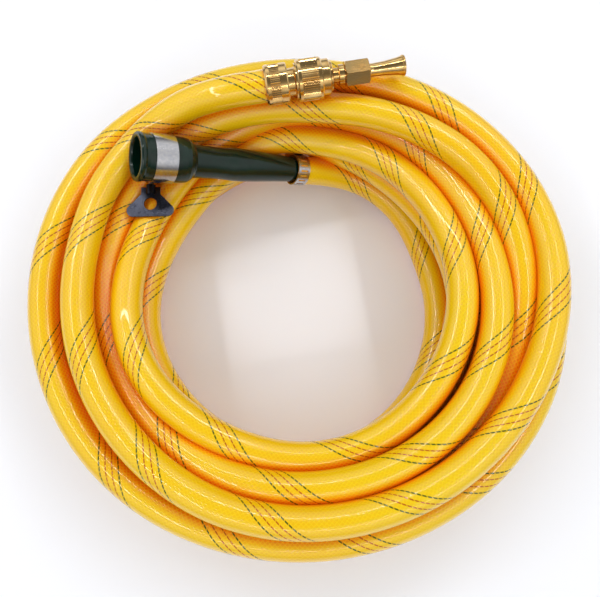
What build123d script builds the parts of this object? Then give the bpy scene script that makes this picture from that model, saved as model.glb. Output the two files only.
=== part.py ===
"""Coiled garden hose set: hose, brass quick coupler with twist nozzle, rubber tap connector.

Millimetres. The coil lies on the floor, centred on the origin, +Z up.
+X runs along the nozzle's axis, from the hose towards the nozzle's tip.
"""
from build123d import *
import os
from math import cos, pi, radians, sin, tan

# ---- hose and coil ----
HOSE_R = 10.5
HOSE_BORE_R = 7.5
SOCKET_DEPTH = 30.0
COIL_OUTER_R = 180.0
COIL_INNER_R = 97.0
COIL_COLUMNS = 4
COIL_LAYERS = 5
COIL_HEIGHT = 95.0

# ---- coupler and nozzle, stations along +X from the clamp nut's rear face ----
COUPLER_X = -2.0
COUPLER_Y = 132.0
COUPLER_Z = 110.0
NUT_LENGTH = 14.8
NUT_R = 12.9
HOSE_STOP = 9.0
THREAD_R = 11.9
BODY_END = 43.1
COLLAR_REAR = 20.9
COLLAR_FRONT = 37.65
COLLAR_R = 13.3
COLLAR_TRAVEL = 4.5
LAND_START = 30.0
LAND_R = 8.55
SOCKET_R = 8.45
PLUG_BORE_R = 6.08
PLUG_R = 6.0
BALL_STATION = 32.3
BALL_R = 1.75
BALL_ORBIT_R = 6.7
BALL_LIFT = 1.1
BALL_COUNT = 3
SPRING_START = 22.05
SPRING_WIRE_R = 0.4
SPRING_MEAN_R = 10.5
SPRING_TURNS = 4
SLEEVE_REAR = 53.0
HEX_FLATS = 15.4
HEX_END = 68.8
NOZZLE_END = 93.0
KNURL_TEETH = 60
KNURL_DEPTH = 0.5

# ---- tap connector, stations along its own axis from the hose clip's middle ----
CLIP_CENTRE = Vector(13.6, 99.1, 45.0)
CONNECTOR_RISE = 29.5
MOUTH = 122.0
TAP_BORE_R = 12.5
TAP_BORE_LENGTH = 33.0
BELL_R = 15.4
BELL_START = 84.0
LIP_R = 16.1
CUFF_R = 8.9
CUFF_END = 4.8
TAIL_END = -22.0
STRAP_STATION = 105.0
STRAP_WIDTH = 14.5
STRAP_THICK = 0.8
STRAP_GAP = 2.2
EAR_WIDTH = 11.0
EAR_HEIGHT = 11.0
EAR_INNER_Y = 3.2
SCREW_DROP = 21.5
SCREW_SKEW = 8.0
SCREW_R = 2.0
WING_START = 11.0
WING_LENGTH = 21.0
WING_TOP_WIDTH = 13.0
WING_WIDTH = 32.0
WING_THICK = 1.2
WING_HOLE_R = 4.4
BAND_WIDTH = 9.4
BAND_THICK = 0.7
BAND_SLOTS = 11
HOUSING_Y = -14.9
HOUSING_LENGTH = 12.0
WORM_R = 3.1

rise = radians(CONNECTOR_RISE)
CONNECTOR = Plane(origin=CLIP_CENTRE, x_dir=(-cos(rise), 0, sin(rise)), z_dir=(sin(rise), 0, cos(rise)))
COUPLER = Location((COUPLER_X, COUPLER_Y, COUPLER_Z))


def turned(points):
    """A solid of revolution about the X axis, from (station, radius) points."""
    face = make_face(Polyline(*points, close=True))
    return revolve(face, Axis.X)


def rod(radius, start, end):
    """A plain cylinder along the X axis."""
    return turned([(start, 0), (end, 0), (end, radius), (start, radius)])


def ring_seal(station, orbit, section):
    """A rubber O-ring about the X axis."""
    return Pos(station, 0, 0) * Rot(0, 90, 0) * Torus(orbit, section)


def knurled_band(radius, start, end):
    """A straight-knurled band: a toothed outline, drawn out along the X axis."""
    outline = []
    for step in range(2 * KNURL_TEETH):
        reach = radius if step % 2 else radius - KNURL_DEPTH
        angle = pi * step / KNURL_TEETH
        outline.append((reach * cos(angle), reach * sin(angle)))
    face = make_face(Polyline(*outline, close=True))
    return Pos(start, 0, 0) * Rot(0, 90, 0) * extrude(face, end - start)


def cord_path(points):
    """Straight runs joined by tangent arcs, each as large as its two runs allow."""
    places = [Vector(*p) for p in points]
    runs = [b - a for a, b in zip(places, places[1:])]
    radii = []
    for before, after in zip(runs, runs[1:]):
        half_turn = radians(before.get_angle(after)) / 2
        radii.append(0.45 * min(before.length, after.length) / tan(half_turn))
    print("arc radii", [round(r) for r in radii])
    return FilletPolyline(*places, radius=radii)


def hose_tube(points):
    """The outer shape of a stretch of hose, and the socket at its first end."""
    path = cord_path(points)
    start = Plane(origin=path @ 0, z_dir=path % 0)
    tube = sweep(start * Circle(HOSE_R), path=path)
    socket = start * Cylinder(HOSE_BORE_R, SOCKET_DEPTH, align=(Align.CENTER, Align.CENTER, Align.MIN))
    return tube, socket


# Routes of the two stretches of hose that leave the coil, each from its cut end.
NOZZLE_LEAD = [
    (COUPLER_X + HOSE_STOP, COUPLER_Y, COUPLER_Z),
    (-27, COUPLER_Y, COUPLER_Z),
    (-56.5, 134.3, 98.9),
    (-85.8, 125.1, 86),
    (-110, 105.4, 77.8),
    (-127.5, 82.5, 77.4),
    (-140, 56, 84.5),
]
TAP_LEAD = [
    tuple(CONNECTOR.from_local_coords(Vector(CUFF_END, 0, 0))),
    tuple(CONNECTOR.from_local_coords(Vector(-25, 0, 0))),
    (61, 92.3, 21.8),
    (84.5, 78.5, 14.5),
    (103, 57, 11.6),
    (114, 31, 10.6),
]


def coil_outline():
    """The bundle's section: the turns' round sides around a filled middle."""
    width = COIL_OUTER_R - COIL_INNER_R
    section = Pos(COIL_INNER_R + width / 2, COIL_HEIGHT / 2) * Rectangle(
        width - 2 * HOSE_R, COIL_HEIGHT - HOSE_R)
    section += Pos(COIL_INNER_R + width / 2, COIL_HEIGHT / 2) * Rectangle(
        width - HOSE_R, COIL_HEIGHT - 2 * HOSE_R)
    column_gap = (width - 2 * HOSE_R) / (COIL_COLUMNS - 1)
    layer_gap = (COIL_HEIGHT - 2 * HOSE_R) / (COIL_LAYERS - 1)
    for column in range(COIL_COLUMNS):
        for layer in range(COIL_LAYERS):
            if column in (0, COIL_COLUMNS - 1) or layer in (0, COIL_LAYERS - 1):
                x = COIL_INNER_R + HOSE_R + column * column_gap
                y = HOSE_R + layer * layer_gap
                section += Pos(x, y) * Circle(HOSE_R)
    return section


def connector_rooms():
    """The hollows in the coil that the tap connector, its clip and its wing lie in."""
    rooms = [
        rod(CUFF_R + 3.7, -8, BELL_START - 2),
        rod(LIP_R + 1.2, BELL_START - 4, MOUTH + 8),
        Pos(0, HOUSING_Y, 1) * Cylinder(9.0, 34),
        Pos(STRAP_STATION, 0, -20) * Box(22, 26, 30),
    ]
    rooms = [CONNECTOR.location * room for room in rooms]
    wing_room = spindle(WING_WIDTH / 2 + 1.2, WING_START - 4, WING_START + WING_LENGTH + 4)
    return rooms + [wing_frame() * wing_room]


def make_hose():
    nozzle_tube, nozzle_socket = hose_tube(NOZZLE_LEAD)
    tap_tube, tap_socket = hose_tube(TAP_LEAD)
    coil = revolve(Plane.XZ * coil_outline(), Axis.Z)
    for room in [nozzle_tube, tap_tube] + connector_rooms():
        coil -= room
    coil = coil.solids().sort_by(SortBy.VOLUME)[-1]
    return {
        "hose_coil": coil,
        "hose_lead_nozzle": nozzle_tube - nozzle_socket,
        "hose_lead_tap": tap_tube - tap_socket,
    }


def barb_outline(start, end, root, tip, count):
    """Saw-tooth ribs that let a hose on and hold it, as (station, radius) points."""
    pitch = (end - start) / count
    points = []
    for rib in range(count):
        points += [(start + rib * pitch, root), (start + (rib + 1) * pitch - 0.6, tip)]
        points += [(start + (rib + 1) * pitch, tip)]
    return points


def make_coupler_body():
    outer = [(-8, 4.5)] + barb_outline(-8, HOSE_STOP - 1, 6.6, 7.45, 4)
    outer += [(HOSE_STOP - 1, 7.0), (HOSE_STOP, 7.0), (HOSE_STOP, THREAD_R)]
    for groove in range(4):
        station = HOSE_STOP + 0.6 + 1.4 * groove
        outer += [(station, THREAD_R), (station + 0.5, THREAD_R - 0.7), (station + 1, THREAD_R)]
    outer += [(NUT_LENGTH + 0.2, THREAD_R), (NUT_LENGTH + 0.2, 8.8), (19.2, 8.8)]
    outer += [(19.9, 9.4), (19.9, 11.4), (22, 11.4), (22, SOCKET_R)]
    outer += [(BODY_END, SOCKET_R), (BODY_END, PLUG_BORE_R + 0.7), (BODY_END - 0.7, PLUG_BORE_R)]
    outer += [(24, PLUG_BORE_R), (23, 4.5)]
    body = turned(outer)
    hole = Pos(BALL_STATION, 0, 0) * Cylinder(
        BALL_R + 0.05, 12, align=(Align.CENTER, Align.CENTER, Align.MIN))
    for ball in range(BALL_COUNT):
        body -= Rot(360 / BALL_COUNT * ball, 0, 0) * hole
    return COUPLER * body


def make_clamp_nut():
    outer = [(0, 10.9), (0, 12.2), (1.2, NUT_R), (3, NUT_R), (3, 12.5), (10, 12.5), (10, NUT_R)]
    outer += [(NUT_LENGTH - 0.6, NUT_R), (NUT_LENGTH, 12.5), (NUT_LENGTH, 12.0), (8.8, 12.0), (3, 11.5), (3, 10.9)]
    nut = turned(outer)
    bore = rod(12.2, 2, 12)
    return COUPLER * (nut + (knurled_band(NUT_R, 3.4, 9.6) - bore))


def make_grip_ring():
    ring = turned([(3.2, 10.55), (3.2, 11.4), (8.6, 11.85), (8.6, 10.55)])
    for tooth in range(2):
        station = 4.6 + 2 * tooth
        ring -= turned([(station, 10.4), (station + 0.9, 10.4), (station + 0.45, 10.9)])
    gap = Pos(6, 0, -11) * Box(8, 2.4, 4)
    return COUPLER * (ring - gap)


def make_lock_collar():
    cone_end = BALL_STATION + COLLAR_TRAVEL
    clear_r = BALL_ORBIT_R + BALL_LIFT + BALL_R + 0.1
    outer = [(COLLAR_REAR, 11.75), (COLLAR_REAR, 12.5), (COLLAR_REAR + 0.9, COLLAR_R)]
    outer += [(23.4, COLLAR_R), (23.4, 12.8), (35.2, 12.8), (35.2, COLLAR_R)]
    outer += [(COLLAR_FRONT - 0.9, COLLAR_R), (COLLAR_FRONT, 12.5), (COLLAR_FRONT, clear_r)]
    outer += [(cone_end, clear_r), (BALL_STATION, LAND_R), (LAND_START, LAND_R), (LAND_START, 11.75)]
    collar = turned(outer)
    bore = rod(12.4, 22, 36)
    return COUPLER * (collar + (knurled_band(COLLAR_R, 23.8, 34.8) - bore))


def make_collar_spring():
    length = LAND_START - SPRING_START - 0.1 - 2 * SPRING_WIRE_R
    helix = Helix(pitch=length / SPRING_TURNS, height=length, radius=SPRING_MEAN_R)
    wire = sweep(Plane(origin=helix @ 0, z_dir=helix % 0) * Circle(SPRING_WIRE_R), path=helix, is_frenet=True)
    return COUPLER * Pos(SPRING_START + SPRING_WIRE_R, 0, 0) * Rot(0, 90, 0) * wire


def make_stop_ring():
    ring = turned([
        (37.7, SOCKET_R), (37.7, 11.6), (42.1, 11.6), (42.9, 10.8), (42.9, SOCKET_R)])
    return COUPLER * ring


def make_lock_balls():
    balls = {}
    for number in range(BALL_COUNT):
        turn = Rot(360 / BALL_COUNT * number, 0, 0)
        balls[f"lock_ball_{number + 1}"] = COUPLER * turn * Pos(BALL_STATION, 0, BALL_ORBIT_R) * Sphere(BALL_R)
    return balls


def make_nozzle_plug():
    """The nozzle's fixed stem: plug, flange, thread and needle in one turned piece."""
    outer = [(25, 2.6), (25, 5.3), (25.7, PLUG_R), (27.1, PLUG_R), (27.1, 4.5), (28.9, 4.5), (28.9, PLUG_R)]
    outer += [(BODY_END + 0.15, PLUG_R), (BODY_END + 0.15, 9.4), (44.1, 9.4), (44.6, 8.8), (44.6, 4.7), (48.5, 4.7)]
    outer += [(48.9, 6.6), (52.2, 6.6), (52.6, 6.2), (52.6, 4.4), (61.5, 4.4), (61.5, 4.9), (65, 4.9), (65, 3.4)]
    outer += [(68.3, 3.4), (72.3, 1.0), (72.3, 0), (67.3, 0), (67.3, 2.2), (60, 2.2), (60, 2.6)]
    plug = turned(outer)
    plug -= Pos(BALL_STATION, 0, 0) * Rot(0, 90, 0) * Torus(BALL_ORBIT_R, BALL_R + 0.12)
    for port in range(4):
        plug -= Rot(90 * port, 0, 0) * Pos(66.3, 0, 3) * Cylinder(0.9, 4)
    return COUPLER * plug


def make_nozzle_sleeve():
    """The twist sleeve: a hexagon grip with the flared spout drawn out of it."""
    hexagon = RegularPolygon(HEX_FLATS / 2, 6, major_radius=False, rotation=30)
    grip = Pos(SLEEVE_REAR, 0, 0) * Rot(0, 90, 0) * extrude(hexagon, HEX_END - SLEEVE_REAR)
    corner_r = HEX_FLATS / 2 / cos(radians(30))
    chamfered = turned([
        (SLEEVE_REAR, 0), (SLEEVE_REAR, corner_r - 0.9), (SLEEVE_REAR + 0.9, corner_r + 0.1),
        (HEX_END - 0.9, corner_r + 0.1), (HEX_END, corner_r - 0.9), (HEX_END, 0)])
    spout = turned([
        (HEX_END - 1, 0), (HEX_END - 1, 5.2), (HEX_END, 5.2), (70, 4.4), (72, 4.2), (80, 4.6), (88, 5.6),
        (91, 6.3), (91.4, 6.7), (92.6, 6.7), (NOZZLE_END, 6.3), (NOZZLE_END, 0)])
    channel = turned([
        (SLEEVE_REAR - 1, 0), (SLEEVE_REAR - 1, 4.55), (54.6, 4.55), (54.6, 6.2), (56.4, 6.2), (56.4, 4.55),
        (57.5, 4.55), (57.5, 5.0), (66.5, 5.0), (69.5, 2.9), (80, 2.9), (NOZZLE_END + 1, 4.9),
        (NOZZLE_END + 1, 0)])
    return COUPLER * ((grip & chamfered) + spout - channel)


def make_tap_body():
    """The moulded rubber connector, from the ribbed tail to the bell's rolled lip."""
    outer = [(TAIL_END, 5.0)] + barb_outline(TAIL_END, CUFF_END - 0.8, 6.7, 7.45, 4)
    outer += [(CUFF_END, 7.2), (CUFF_END, CUFF_R - 0.5), (CUFF_END + 0.5, CUFF_R)]
    outer += [(13, 9.4), (24, 10.1), (36, 10.9), (46, 11.4), (53, 11.4), (60, 10.9), (67, 10.8), (76, 11.0)]
    outer += [(BELL_START - 1, 11.2), (BELL_START + 0.5, 12.4), (BELL_START + 2, 13.8), (BELL_START + 4, 14.8)]
    outer += [(BELL_START + 7, 15.2), (BELL_START + 11, BELL_R), (MOUTH - 6, BELL_R), (MOUTH - 4, 15.6)]
    outer += [(MOUTH - 2.8, LIP_R), (MOUTH - 1.2, LIP_R), (MOUTH - 0.2, 15.5), (MOUTH, 14.5)]
    outer += [(MOUTH - 0.1, 13.4), (MOUTH - 0.8, 12.8), (MOUTH - 1.8, TAP_BORE_R)]
    outer += [(MOUTH - TAP_BORE_LENGTH, TAP_BORE_R), (MOUTH - TAP_BORE_LENGTH - 4, 9.5)]
    outer += [(MOUTH - TAP_BORE_LENGTH - 10, 6.0), (MOUTH - TAP_BORE_LENGTH - 14, 5.0)]
    return CONNECTOR.location * turned(outer)


def make_tap_strap():
    outer_r = BELL_R + STRAP_THICK
    start = STRAP_STATION - STRAP_WIDTH / 2
    band = rod(outer_r, start, start + STRAP_WIDTH) - rod(BELL_R, start - 1, start + STRAP_WIDTH + 1)
    band -= Pos(STRAP_STATION, 0, -BELL_R) * Box(STRAP_WIDTH + 2, 2 * STRAP_GAP, 6)
    band = CONNECTOR.location * band
    top = SCREW_DROP - BELL_R - 0.2
    for side in (-1, 1):
        ear = Pos(0, 0, top - EAR_HEIGHT / 2) * Box(EAR_WIDTH, STRAP_THICK, EAR_HEIGHT)
        ear = Pos(0, side * (EAR_INNER_Y + STRAP_THICK / 2), 0) * Rot(0, CONNECTOR_RISE, 0) * ear
        band += wing_frame() * (ear - spindle(SCREW_R + 0.3, -10, 10))
    return band


def wing_frame():
    """The screw's own frame: its axis along -Y, from the strap out to the wing."""
    centre = CONNECTOR.from_local_coords(Vector(STRAP_STATION, 0, -SCREW_DROP))
    return Pos(*centre) * Rot(0, 0, -SCREW_SKEW)


def spindle(radius, start, end):
    """A cylinder along -Y, between two distances from the strap's middle."""
    return Pos(0, -start, 0) * Rot(90, 0, 0) * Cylinder(
        radius, end - start, align=(Align.CENTER, Align.CENTER, Align.MIN))


def make_strap_screw():
    screw = spindle(SCREW_R, -9.5, WING_START + 5) + spindle(4.0, 5.0, 6.6)
    for groove in range(8):
        station = -9 + 1.4 * groove
        screw -= spindle(SCREW_R + 1, station, station + 0.4) - spindle(SCREW_R - 0.3, station, station + 0.4)
    return wing_frame() * screw


def make_strap_washer():
    return wing_frame() * (spindle(4.6, 4.1, 4.9) - spindle(SCREW_R + 0.08, 3, 6))


def make_strap_nut():
    nut = Pos(0, 5.65, 0) * Rot(0, CONNECTOR_RISE, 0) * Box(7, 3.1, 7)
    return wing_frame() * (nut - spindle(SCREW_R + 0.08, -9, -2))


def make_wing_plate():
    """A stamped triangle with rounded corners, rolled round the screw at its narrow end."""
    near = -WING_START
    far = near - WING_LENGTH
    outline = Polyline(
        (-WING_TOP_WIDTH / 2, near), (-WING_TOP_WIDTH / 2, near - 5), (-WING_WIDTH / 2, far + 6),
        (-WING_WIDTH / 2, far), (WING_WIDTH / 2, far), (WING_WIDTH / 2, far + 6),
        (WING_TOP_WIDTH / 2, near - 5), (WING_TOP_WIDTH / 2, near), close=True)
    face = make_face(outline)
    low_corners = face.vertices().sort_by(Axis.Y)[:2]
    face = fillet(low_corners, 4.5)
    side_corners = [v for v in face.vertices() if abs(v.Y - (far + 6)) < 0.1]
    face = fillet(side_corners, 2.5)
    plate = extrude(face, WING_THICK / 2, both=True)
    plate += spindle(3.3, WING_START - 1.5, WING_START + 5.5)
    plate -= Pos(0, near - 12.0, 0) * Cylinder(WING_HOLE_R, 5)
    plate -= spindle(SCREW_R, WING_START - 3, WING_START + 5)
    return wing_frame() * plate


def make_clip_band():
    outer_r = HOSE_R + BAND_THICK
    half = BAND_WIDTH / 2
    band = rod(outer_r, -half, half) - rod(HOSE_R, -half - 1, half + 1)
    slot = Pos(0, 0, outer_r) * Box(BAND_WIDTH * 0.6, 1.3, 3)
    for number in range(BAND_SLOTS):
        band -= Rot(70 - 20 * number, 0, 0) * slot
    return CONNECTOR.location * band


def make_clip_housing():
    shell = Pos(0, HOUSING_Y + 0.1, 0) * Box(BAND_WIDTH, 7.6, HOUSING_LENGTH)
    shell = fillet(shell.edges().filter_by(Axis.Z).sort_by(Axis.Y)[:2], 2.6)
    shell -= Pos(0, HOUSING_Y, 0) * Cylinder(WORM_R + 0.1, 20)
    shell -= rod(HOSE_R + BAND_THICK, -10, 10)
    return CONNECTOR.location * shell


def make_clip_screw():
    worm = Cylinder(WORM_R, 13)
    for groove in range(6):
        worm -= Pos(0, 0, -5 + 2 * groove) * (Cylinder(WORM_R + 1, 0.8) - Cylinder(WORM_R - 0.6, 0.8))
    head = Pos(0, 0, 6.5) * extrude(RegularPolygon(3.5, 6, major_radius=False), 3.6)
    head += Pos(0, 0, 6.3) * Cylinder(4.2, 0.9, align=(Align.CENTER, Align.CENTER, Align.MIN))
    head -= Pos(0, 0, 10.1) * Box(10, 1.1, 2.6)
    return CONNECTOR.location * Pos(0, HOUSING_Y, 0) * (worm + head)


def main():
    nodes = make_hose()
    nodes.update({
        "coupler_body": make_coupler_body(),
        "clamp_nut": make_clamp_nut(),
        "grip_ring": make_grip_ring(),
        "lock_collar": make_lock_collar(),
        "collar_spring": make_collar_spring(),
        "collar_stop_ring": make_stop_ring(),
        "nozzle_plug": make_nozzle_plug(),
        "plug_seal": COUPLER * ring_seal(28, 5.25, 0.75),
        "nozzle_sleeve": make_nozzle_sleeve(),
        "sleeve_seal": COUPLER * ring_seal(55.5, 5.3, 0.8),
        "tap_connector_body": make_tap_body(),
        "tap_strap": make_tap_strap(),
        "strap_screw": make_strap_screw(),
        "strap_washer": make_strap_washer(),
        "strap_nut": make_strap_nut(),
        "wing_plate": make_wing_plate(),
        "clip_band": make_clip_band(),
        "clip_housing": make_clip_housing(),
        "clip_screw": make_clip_screw(),
    })
    nodes.update(make_lock_balls())
    os.makedirs("parts", exist_ok=True)
    for name, shape in nodes.items():
        export_step(shape, f"parts/{name}.step")


main()
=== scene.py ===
"""Looks for the coiled garden hose set: the hose at its full length, and a finish for every piece.

Metres, in the part's own frame: the coil lies on the floor around the origin, +Z up,
and the nozzle points along +X.
"""
from math import cos, pi, radians, sin

import bpy
import numpy as np
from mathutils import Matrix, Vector


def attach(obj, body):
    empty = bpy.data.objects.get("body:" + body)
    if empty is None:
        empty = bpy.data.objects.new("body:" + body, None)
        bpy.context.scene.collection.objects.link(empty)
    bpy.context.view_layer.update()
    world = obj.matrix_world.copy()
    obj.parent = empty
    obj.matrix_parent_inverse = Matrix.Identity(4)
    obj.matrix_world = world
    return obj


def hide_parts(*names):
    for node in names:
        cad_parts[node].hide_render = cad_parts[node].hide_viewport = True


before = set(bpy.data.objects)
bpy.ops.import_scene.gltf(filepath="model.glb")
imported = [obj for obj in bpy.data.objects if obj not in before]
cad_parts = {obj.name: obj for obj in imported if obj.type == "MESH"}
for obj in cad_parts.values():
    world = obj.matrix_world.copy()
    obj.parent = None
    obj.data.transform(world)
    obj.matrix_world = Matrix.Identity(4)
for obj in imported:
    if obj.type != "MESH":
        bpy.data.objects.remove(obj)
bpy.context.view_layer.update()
MM = 0.001

# ---- the hose's facts ----
HOSE_R = 10.5 * MM
HOSE_SIDES = 36

# ---- camera ----
CAMERA_AT = Vector((-0.0149, -0.0900, 0.4753))
CAMERA_TARGET = Vector((-0.0013, -0.0079, 0.0840))
LENS = 36.9
CAMERA_SHIFT = (-1 / 600, 1.5 / 600)  # shares of the picture's width

# ---- route of the two leads, in metres, up to 5 and 10 mm away from part.py's ----
NOZZLE_LEAD = [
    (0.007, 0.132, 0.110),
    (-0.027, 0.132, 0.110),
    (-0.0565, 0.1335, 0.1005),
    (-0.085, 0.1245, 0.089),
    (-0.109, 0.106, 0.083),
    (-0.127, 0.082, 0.083),
]
TAP_LEAD = [
    (0.100, 0.040, 0.0130),
    (0.0915, 0.0625, 0.0155),
    (0.0770, 0.0820, 0.0185),
    (0.0575, 0.0950, 0.0230),
    (0.0354, 0.0991, 0.0327),
    (0.009422, 0.0991, 0.047364),
]

# ---- the wound turns, from the nozzle lead down through the layers to the tap lead ----
# Each turn is a few stops: angle in degrees, radius and height in millimetres.
# Angles run anticlockwise from +X. A turn that starts where the last one ends continues it.
STEPS = 24  # spline points in each turn
WIDEN_SHARE = 0.8
TURNS = [
    [(165, 146, 86), (178, 145, 86), (205, 144, 86), (235, 142, 88), (262, 143, 90), (288, 146, 90),
     (324, 155, 88), (344, 161, 87), (360, 166, 87), (377, 166, 87), (409, 158, 84), (430, 150, 81)],
    [(82, 148, 80), (101, 151, 78), (125, 164, 75), (150, 170, 71), (178, 173, 69), (205, 167, 68),
     (233, 160, 72), (262, 156, 75), (288, 160, 74), (337, 176, 66), (365, 168, 65), (390, 158, 66),
     (409, 152, 70), (430, 145, 71)],
    [(89, 142, 70), (110, 147, 64), (130, 156, 60), (150, 156, 61), (175, 153, 65), (205, 149, 65),
     (234, 141, 66), (262, 139, 66), (305, 143, 66), (331, 146, 73), (346, 146, 80), (361, 149, 85),
     (377, 146, 90), (394, 139, 92), (409, 131, 94), (430, 124, 94)],
    [(81, 122, 93), (97, 129, 91), (112, 138, 79), (124, 141, 68), (136, 141, 62), (155, 135, 64),
     (175, 132, 66), (205, 130, 68), (225, 127, 76), (245, 125, 82), (261, 124, 83), (287, 127, 85),
     (315, 131, 86), (345, 132, 86), (376, 128, 85), (392, 129, 77), (408, 133, 70), (430, 137, 62)],
    [(81, 139, 60), (100, 137, 58), (115, 131, 58), (135, 122, 57), (150, 118, 62), (162, 117, 73),
     (178, 118, 84), (205, 118, 85), (234, 114, 77), (261, 111, 70), (287, 109, 72), (314, 106, 80),
     (344, 106, 86), (375, 105, 82), (391, 112, 72), (402, 117, 66), (411, 121, 62), (425, 123, 59)],
    [(81, 121, 55), (92, 119, 51), (104, 115, 47), (120, 109, 43), (135, 104, 42), (155, 104, 50),
     (166, 107, 57), (178, 111, 62), (205, 110, 60), (225, 111, 55), (245, 112, 50), (300, 112, 52),
     (330, 114, 62), (345, 113, 65), (375, 106, 62), (393, 106, 54), (412, 112, 46), (425, 120, 42)],
    [(82, 133, 38), (100, 132, 39), (120, 129, 41), (150, 130, 46), (262, 130, 47), (345, 134, 47),
     (430, 132, 46)],
    [(90, 149, 47), (120, 152, 46), (180, 152, 47), (262, 151, 47), (345, 156, 47), (410, 154, 47),
     (430, 158, 42)],
    [(90, 164, 32), (120, 161, 29), (262, 158, 29), (345, 162, 29), (410, 171, 26), (430, 172, 20)],
    [(90, 170, 12), (120, 165, 10.5), (262, 161, 10.5), (345, 168, 10.5), (410, 171, 10.5),
     (430, 165, 10.5)],
    [(90, 152, 10.5), (120, 145, 10.5), (262, 140, 10.5), (345, 147, 10.5), (410, 151, 12),
     (430, 151, 20)],
    [(90, 146, 27), (120, 140, 29), (262, 137, 29), (345, 141, 29), (410, 150, 29), (430, 142, 29)],
    [(90, 129, 30), (120, 121, 28), (180, 116, 29), (262, 115, 29), (330, 121, 29), (385, 126, 29),
     (410, 131, 26), (430, 134, 14)],
    [(90, 126, 10.5), (120, 122, 10.5), (180, 119, 10.5), (262, 114, 10.5), (300, 110, 10.5),
     (325, 106, 10.5), (352, 105, 10.5), (372, 107, 11)],
]

# ---- how the turns settle: the share of each correction that one round makes ----
SETTLE_ROUNDS = 300
PULL_BACK = 0.09  # towards where a point was wound
EVEN_OUT = 0.12  # towards its neighbours along the hose
PUSH_APART = 0.35  # of turns whose centrelines are closer than the clearance
PUSH_OFF = 0.8  # of a turn that presses into a fitting or a lead
CLEARANCE = 20.8 * MM
LEAD_SHARE = 0.85  # of the hose's radius

# ---- the tap connector: how steeply it rises, and its hose clip's place ----
NECK_RISE = radians(29.5)
CLIP_AT = np.array((0.0136, 0.0991, 0.045))


def on_connector(station):
    """A point on the tap connector's axis, this far from the hose clip towards its mouth."""
    return CLIP_AT + station * np.array((-cos(NECK_RISE), 0, sin(NECK_RISE)))


# What the turns lie against, as round bars: start, end and radius.
BARS = [
    # hose clip, neck and bell
    (on_connector(-0.008), on_connector(0.008), 0.0116),
    (on_connector(0.008), on_connector(0.082), 0.0114),
    (on_connector(0.085), on_connector(0.121), 0.0163),
    # clip screw
    (np.array((0.0136, 0.1140, 0.045)), np.array((0.0166, 0.1140, 0.0503)), 0.0045),
    # coupler and nozzle
    (np.array((-0.002, 0.132, 0.110)), np.array((0.042, 0.132, 0.110)), 0.0135),
    (np.array((0.042, 0.132, 0.110)), np.array((0.092, 0.132, 0.110)), 0.0095),
    # wing screw and wing
    (np.array((-0.0880, 0.1015, 0.078)), np.array((-0.0907, 0.0767, 0.078)), 0.0052),
    (np.array((-0.1032, 0.0727, 0.078)), np.array((-0.0772, 0.0707, 0.078)), 0.0012),
]


# ======================= small helpers =======================


def link(obj):
    bpy.context.scene.collection.objects.link(obj)
    return obj


def mesh_object(name, vertices, faces, smooth=True):
    mesh = bpy.data.meshes.new(name)
    mesh.from_pydata([tuple(v) for v in vertices], [], [tuple(f) for f in faces])
    mesh.polygons.foreach_set("use_smooth", [smooth] * len(mesh.polygons))
    mesh.update()
    return link(bpy.data.objects.new(name, mesh))


# ======================= the hose's route =======================


def laid_out():
    """The turns as they are wound: angle, radius and height of every centreline point, in metres."""
    stops = [(angle + 360 * number, r * MM, z * MM)
             for number, turn in enumerate(TURNS) for angle, r, z in turn]
    stops = np.array(sorted(stops))
    angles = np.arange(stops[0, 0], stops[-1, 0] + 1, 360 / STEPS)
    return angles, np.interp(angles, stops[:, 0], stops[:, 1]), np.interp(angles, stops[:, 0], stops[:, 2])


def lead_bars():
    """The leads' own stretches, thinned a little so that the turns they grow out of can run on."""
    leads = NOZZLE_LEAD[1:-1], TAP_LEAD[1:]
    return [(np.array(start), np.array(end), LEAD_SHARE * HOSE_R)
            for lead in leads for start, end in zip(lead, lead[1:])]


def settled():
    """Lets the turns settle against each other, the fittings, the leads and the floor."""
    angles, radius, height = laid_out()
    wound_radius, wound_height = radius.copy(), height.copy()
    place = np.round(angles % 360 / (360 / STEPS)).astype(int) % STEPS
    neighbours = [np.where(place == p)[0] for p in range(STEPS)]
    outward = np.stack([np.cos(np.radians(angles)), np.sin(np.radians(angles))], 1)
    for _ in range(SETTLE_ROUNDS):
        radius += PULL_BACK * (wound_radius - radius)
        height += PULL_BACK * (wound_height - height)
        for values in (radius, height):
            values[1:-1] += EVEN_OUT * (values[:-2] + values[2:] - 2 * values[1:-1])
        for group in neighbours:
            across = radius[group][:, None] - radius[group][None]
            up = height[group][:, None] - height[group][None]
            apart = np.hypot(across, up) + np.eye(len(group))  # no point pushes itself
            push = PUSH_APART * np.clip(CLEARANCE - apart, 0, None) / np.maximum(apart, 1e-6)
            radius[group] += (across * push).sum(1)
            height[group] += (up * push).sum(1)
        points = np.column_stack([outward * radius[:, None], height])
        for start, end, bar_radius in BARS + lead_bars():
            along = end - start
            share = np.clip((points - start) @ along / (along @ along), 0, 1)
            away = points - start - share[:, None] * along
            distance = np.linalg.norm(away, axis=1)
            short = np.clip(bar_radius + HOSE_R - distance, 0, None)
            shift = PUSH_OFF * away * (short / distance)[:, None]
            radius += (shift[:, :2] * outward).sum(1)
            height += shift[:, 2]
        height = np.maximum(height, HOSE_R)
    return angles, radius, height


def straight_start(lead):
    """The lead with a point halfway along its first stretch: the hose is then straight in its fitting."""
    first, second = np.array(lead[0]), np.array(lead[1])
    return [lead[0], tuple((first + second) / 2)] + lead[1:]


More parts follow.
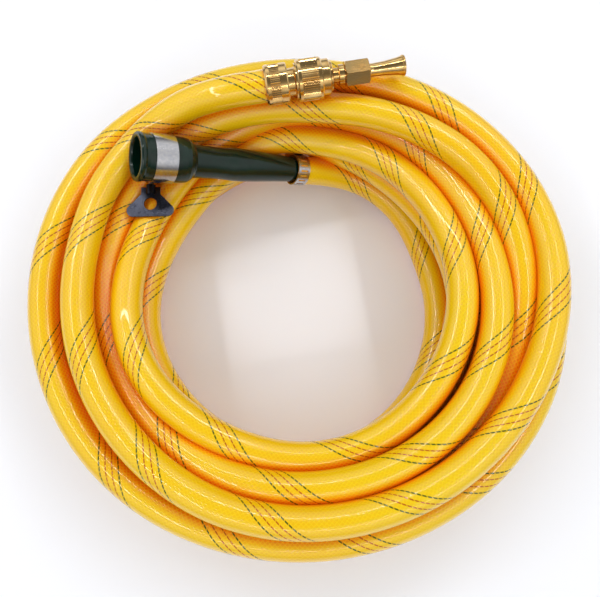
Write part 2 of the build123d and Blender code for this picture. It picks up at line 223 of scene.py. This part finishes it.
def hose_route():
    """The spline's control points: nozzle lead, all the turns, tap lead."""
    angles, radius, height = settled()
    # the spline cuts inside its control points, so they stand a little further out
    widen = 1 / cos(WIDEN_SHARE * pi / STEPS)
    turns = [(widen * r * cos(radians(a)), widen * r * sin(radians(a)), z)
             for a, r, z in zip(angles, radius, height)]
    return straight_start(NOZZLE_LEAD) + turns + straight_start(TAP_LEAD[::-1])[::-1]


def spline_line(points, resolution=6):
    """Points along the smooth NURBS line that has these control points."""
    curve = bpy.data.curves.new("hose_line", "CURVE")
    curve.dimensions = "3D"
    spline = curve.splines.new("NURBS")
    spline.points.add(len(points) - 1)
    for point, place in zip(spline.points, points):
        point.co = (*place, 1)
    spline.order_u = 3
    spline.use_endpoint_u = True
    spline.resolution_u = resolution
    holder = link(bpy.data.objects.new("hose_line", curve))
    mesh = bpy.data.meshes.new_from_object(holder)
    line = np.array([v.co for v in mesh.vertices])
    bpy.data.objects.remove(holder)
    bpy.data.meshes.remove(mesh)
    return line


def tube_frames(line):
    """Two cross directions that don't twist along the line."""
    tangents = np.gradient(line, axis=0)
    tangents /= np.linalg.norm(tangents, axis=1)[:, None]
    side = np.zeros_like(line)
    side[0] = np.cross(tangents[0], (0, 0, 1))
    side[0] /= np.linalg.norm(side[0])
    for i in range(1, len(line)):
        side[i] = side[i - 1] - tangents[i] * (side[i - 1] @ tangents[i])
        side[i] /= np.linalg.norm(side[i])
    return side, np.cross(tangents, side)


def tube(line, run):
    """Vertices and faces of the hose round a line, and each face corner's place round and along it."""
    side, up = tube_frames(line)
    turn = 2 * pi * np.arange(HOSE_SIDES) / HOSE_SIDES
    rings = (line[:, None] + HOSE_R * (np.cos(turn)[None, :, None] * side[:, None]
                                      + np.sin(turn)[None, :, None] * up[:, None]))
    faces, corners = [], []
    for i in range(len(line) - 1):
        here, there = i * HOSE_SIDES, (i + 1) * HOSE_SIDES
        for k in range(HOSE_SIDES):
            after = (k + 1) % HOSE_SIDES
            faces.append((here + k, here + after, there + after, there + k))
            left, right = k / HOSE_SIDES, (k + 1) / HOSE_SIDES
            corners += [(left, run[i]), (right, run[i]), (right, run[i + 1]), (left, run[i + 1])]
    return rings.reshape(-1, 3), faces, corners


def make_hose():
    line = spline_line(hose_route())
    run = np.concatenate([[0], np.cumsum(np.linalg.norm(np.diff(line, axis=0), axis=1))])
    vertices, faces, corners = tube(line, run)
    hose = mesh_object("garden_hose", vertices, faces)
    uv = hose.data.uv_layers.new(name="UVMap")
    uv.data.foreach_set("uv", np.array(corners).ravel())
    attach(hose, "hose_set")
    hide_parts("hose_coil", "hose_lead_nozzle", "hose_lead_tap")
    print("hose length", round(float(run[-1]), 3))
    return hose


# ======================= materials =======================


def new_material(name):
    material = bpy.data.materials.new(name)
    material.use_nodes = True
    nodes = material.node_tree.nodes
    return material, nodes, material.node_tree.links, nodes["Principled BSDF"]


def mix_colour(tree, factor, a, b):
    node = tree.nodes.new("ShaderNodeMix")
    node.data_type = "RGBA"
    for socket, value in ((node.inputs["Factor"], factor), (node.inputs[6], a), (node.inputs[7], b)):
        if isinstance(value, bpy.types.NodeSocket):
            tree.links.new(value, socket)
        else:
            socket.default_value = value
    return node.outputs[2]


def maths(tree, operation, *values):
    node = tree.nodes.new("ShaderNodeMath")
    node.operation = operation
    for socket, value in zip(node.inputs, values):
        if isinstance(value, bpy.types.NodeSocket):
            tree.links.new(value, socket)
        else:
            socket.default_value = value
    return node.outputs[0]


def ramp(tree, value, low, high, low_to=0.0, high_to=1.0):
    node = tree.nodes.new("ShaderNodeMapRange")
    node.interpolation_type = "SMOOTHSTEP"
    tree.links.new(value, node.inputs["Value"])
    for name, number in (("From Min", low), ("From Max", high), ("To Min", low_to), ("To Max", high_to)):
        node.inputs[name].default_value = number
    return node.outputs[0]


# The printed lines wind round once in each pitch. A line is its offset and half width, as shares of
# the pitch, and its ink.
STRIPE_PITCH = 0.082
STITCH_LENGTH = 0.0026
INKS = {"green": (0.030, 0.060, 0.0, 1), "red": (0.42, 0.065, 0.0, 1)}
STRIPE_LINES = [
    (-0.115, 0.0115, "green"),
    (-0.040, 0.0100, "red"),
    (0.038, 0.0100, "red"),
    (0.115, 0.0115, "green"),
]
BRAID_THREADS = 22
BRAID_PITCH = 0.066
PAINTED_SHADE_REACH = 0.016
YELLOW_WARM = (0.82, 0.40, 0.0, 1)
YELLOW = (0.80, 0.56, 0.0, 1)
# painted shade: the warm orange painted into the folds between turns
PAINTED_FOLD_SHADE = (0.85, 0.17, 0.0, 1)
THREAD_YELLOW = (0.93, 0.72, 0.01, 1)
THREAD_SHARE = 0.30


def hose_material():
    """Glossy yellow PVC over a paler braid, with painted warm shade in the folds, and four thin stitched
    lines.
    """
    material, nodes, links, bsdf = new_material("yellow_braided_pvc")
    tree = material.node_tree
    uv = nodes.new("ShaderNodeUVMap")
    uv.uv_map = "UVMap"
    split = nodes.new("ShaderNodeSeparateXYZ")
    links.new(uv.outputs[0], split.inputs[0])
    around, along = split.outputs[0], split.outputs[1]

    # the braid under the surface: two sets of fine crossing threads
    braid = None
    for sign in (1, -1):
        phase = maths(tree, "ADD", maths(tree, "MULTIPLY", around, float(BRAID_THREADS)),
                      maths(tree, "MULTIPLY", along, sign * BRAID_THREADS / BRAID_PITCH))
        wave = maths(tree, "ABSOLUTE", maths(tree, "SUBTRACT", maths(tree, "FRACT", phase), 0.5))
        thread = ramp(tree, wave, 0.06, 0.20, 1.0, 0.0)
        braid = thread if braid is None else maths(tree, "MAXIMUM", braid, thread)

    # painted shade: where ambient occlusion finds the folds between turns closed in, they are mixed towards
    # warm orange, standing in for the little light that gets in there after crossing yellow plastic
    painted_shade_ao = nodes.new("ShaderNodeAmbientOcclusion")
    painted_shade_ao.samples = 8
    painted_shade_ao.inputs["Distance"].default_value = PAINTED_SHADE_REACH
    openness = ramp(tree, painted_shade_ao.outputs["AO"], 0.30, 0.95)
    coords = nodes.new("ShaderNodeTexCoord")
    cloud = nodes.new("ShaderNodeTexNoise")
    cloud.inputs["Scale"].default_value = 9.0
    cloud.inputs["Detail"].default_value = 2.0
    links.new(coords.outputs["Object"], cloud.inputs["Vector"])
    base = mix_colour(tree, cloud.outputs["Fac"], YELLOW_WARM, YELLOW)
    # painted shade: the base colour turns orange where ambient occlusion is high
    painted_fold_colour = mix_colour(tree, openness, PAINTED_FOLD_SHADE, base)
    colour = mix_colour(tree, maths(tree, "MULTIPLY", braid, THREAD_SHARE), painted_fold_colour, THREAD_YELLOW)

    # the four helical lines, broken into dashes
    place = maths(tree, "SUBTRACT", around, maths(tree, "MULTIPLY", along, 1.0 / STRIPE_PITCH))
    place = maths(tree, "SUBTRACT", maths(tree, "FRACT", place), 0.5)
    stitch = maths(tree, "FRACT", maths(tree, "MULTIPLY", along, 1 / STITCH_LENGTH))
    dash = ramp(tree, maths(tree, "ABSOLUTE", maths(tree, "SUBTRACT", stitch, 0.5)), 0.32, 0.44, 1.0, 0.20)
    for offset, width, ink in STRIPE_LINES:
        gap = maths(tree, "ABSOLUTE", maths(tree, "SUBTRACT", place, offset))
        line = maths(tree, "MULTIPLY", ramp(tree, gap, width * 0.45, width, 1.0, 0.0), dash)
        colour = mix_colour(tree, line, colour, INKS[ink])
    links.new(colour, bsdf.inputs["Base Color"])
    bsdf.inputs["Roughness"].default_value = 0.36
    bsdf.inputs["Specular IOR Level"].default_value = 0.15
    bsdf.inputs["Coat Weight"].default_value = 1.0
    bsdf.inputs["Coat Roughness"].default_value = 0.03
    bump = nodes.new("ShaderNodeBump")
    bump.inputs["Strength"].default_value = 0.20
    bump.inputs["Distance"].default_value = 0.0002
    links.new(braid, bump.inputs["Height"])
    links.new(bump.outputs[0], bsdf.inputs["Normal"])
    links.new(bump.outputs[0], bsdf.inputs["Coat Normal"])
    return material


def grained(name, dark, light, gloss, metallic, scale, stretch=(1, 1, 1), bump=0.05):
    """A finish that wanders with a fine grain between two colours and between two roughnesses."""
    material, nodes, links, bsdf = new_material(name)
    tree = material.node_tree
    coords = nodes.new("ShaderNodeTexCoord")
    mapping = nodes.new("ShaderNodeMapping")
    mapping.inputs["Scale"].default_value = stretch
    links.new(coords.outputs["Object"], mapping.inputs["Vector"])
    grain = nodes.new("ShaderNodeTexNoise")
    grain.inputs["Scale"].default_value = scale
    grain.inputs["Detail"].default_value = 4
    links.new(mapping.outputs[0], grain.inputs["Vector"])
    patch = nodes.new("ShaderNodeTexNoise")
    patch.inputs["Scale"].default_value = 60
    links.new(coords.outputs["Object"], patch.inputs["Vector"])
    half_grain = maths(tree, "MULTIPLY", grain.outputs["Fac"], 0.5)
    value = maths(tree, "MULTIPLY_ADD", patch.outputs["Fac"], 0.5, half_grain)
    colour = mix_colour(tree, ramp(tree, value, 0.3, 0.7), (*dark, 1), (*light, 1))
    links.new(colour, bsdf.inputs["Base Color"])
    links.new(ramp(tree, value, 0.3, 0.7, *gloss), bsdf.inputs["Roughness"])
    bsdf.inputs["Metallic"].default_value = metallic
    relief = nodes.new("ShaderNodeBump")
    relief.inputs["Strength"].default_value = bump
    relief.inputs["Distance"].default_value = 0.0002
    links.new(grain.outputs["Fac"], relief.inputs["Height"])
    links.new(relief.outputs[0], bsdf.inputs["Normal"])
    return material


def plain(name, colour, roughness):
    material, _, _, bsdf = new_material(name)
    bsdf.inputs["Base Color"].default_value = (*colour, 1)
    bsdf.inputs["Roughness"].default_value = roughness
    return material


def dress(names, material):
    for name in names:
        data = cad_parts[name].data
        data.materials.clear()
        data.materials.append(material)


# ======================= studio =======================


def make_camera():
    data = bpy.data.cameras.new("camera")
    data.lens = LENS
    data.sensor_width = 36
    data.clip_start = 0.01
    camera = link(bpy.data.objects.new("camera", data))
    camera.location = CAMERA_AT
    camera.rotation_euler = (CAMERA_TARGET - CAMERA_AT).to_track_quat("-Z", "Y").to_euler()
    data.shift_x, data.shift_y = CAMERA_SHIFT
    bpy.context.scene.camera = camera


FLOOR_HALF = 3.0
TUBE_LENGTH = 1.5
TUBE_WIDTH = 0.04
TUBE_HEIGHT = 1.05
TUBE_POWER = 3.8
WORLD_STRENGTH = 1.0
DIM_SHARE = 0.15


def tube_light(name, x, y, size_x, size_y):
    """A long thin light over (x, y) that shines straight down."""
    data = bpy.data.lights.new(name, "AREA")
    data.shape = "RECTANGLE"
    data.size = size_x
    data.size_y = size_y
    data.energy = TUBE_POWER
    lamp = link(bpy.data.objects.new(name, data))
    lamp.location = (x, y, TUBE_HEIGHT)
    lamp.rotation_euler = Vector((0, 0, -1)).to_track_quat("-Z", "Y").to_euler()


def make_world():
    """Brightest half way up, as from softboxes round the table, and dim overhead and at the horizon."""
    world = bpy.data.worlds.new("studio")
    bpy.context.scene.world = world
    world.use_nodes = True
    tree = world.node_tree
    background = tree.nodes["Background"]
    background.inputs["Strength"].default_value = WORLD_STRENGTH
    coords = tree.nodes.new("ShaderNodeTexCoord")
    split = tree.nodes.new("ShaderNodeSeparateXYZ")
    tree.links.new(coords.outputs["Generated"], split.inputs[0])
    off_middle = maths(tree, "ABSOLUTE", maths(tree, "SUBTRACT", split.outputs[2], 0.5))
    tree.links.new(ramp(tree, off_middle, 0.0, 0.5, 1.0, DIM_SHARE), background.inputs["Color"])


def make_studio():
    corners = [(x * FLOOR_HALF, y * FLOOR_HALF, 0) for x, y in ((-1, -1), (1, -1), (1, 1), (-1, 1))]
    floor = mesh_object("floor", corners, [(0, 1, 2, 3)], smooth=False)
    floor.data.materials.append(plain("pale_floor", (0.88, 0.90, 0.95), 0.9))
    make_world()
    tube_light("tube_0", -0.60, 0.10, TUBE_WIDTH, TUBE_LENGTH)
    tube_light("tube_1", 0.60, 0.10, TUBE_WIDTH, TUBE_LENGTH)
    tube_light("tube_2", 0.0, 0.52, TUBE_LENGTH, TUBE_WIDTH)
    tube_light("tube_3", 0.0, -0.90, TUBE_LENGTH, TUBE_WIDTH)


bpy.context.scene.view_settings.view_transform = "Standard"
make_camera()
make_hose().data.materials.append(hose_material())
make_studio()

brass = grained("turned_brass", (0.60, 0.35, 0.11), (0.88, 0.62, 0.27), (0.22, 0.11), 1, 150, bump=0.06)
dress(["coupler_body", "clamp_nut", "lock_collar", "collar_stop_ring", "nozzle_plug", "nozzle_sleeve"], brass)
rubber = grained("bottle_green_rubber", (0.0004, 0.009, 0.005), (0.001, 0.018, 0.010), (0.24, 0.13), 0, 400,
                 bump=0.10)
rubber.node_tree.nodes["Principled BSDF"].inputs["Specular IOR Level"].default_value = 0.4
dress(["tap_connector_body"], rubber)
blued = grained("dark_blued_steel", (0.026, 0.028, 0.040), (0.040, 0.043, 0.058), (0.32, 0.22), 1, 300,
                bump=0.04)
dress(["wing_plate"], blued)
steel = grained("bright_steel", (0.40, 0.41, 0.45), (0.56, 0.55, 0.55), (0.24, 0.14), 1, 500, (1, 1, 0.08))
dress(["tap_strap", "strap_screw", "strap_washer", "strap_nut", "clip_band", "clip_housing",
       "clip_screw", "collar_spring", "lock_ball_1", "lock_ball_2", "lock_ball_3"], steel)
black = grained("black_nitrile", (0.010, 0.010, 0.010), (0.030, 0.030, 0.030), (0.60, 0.40), 0, 500,
                bump=0.10)
dress(["plug_seal", "sleeve_seal", "grip_ring"], black)
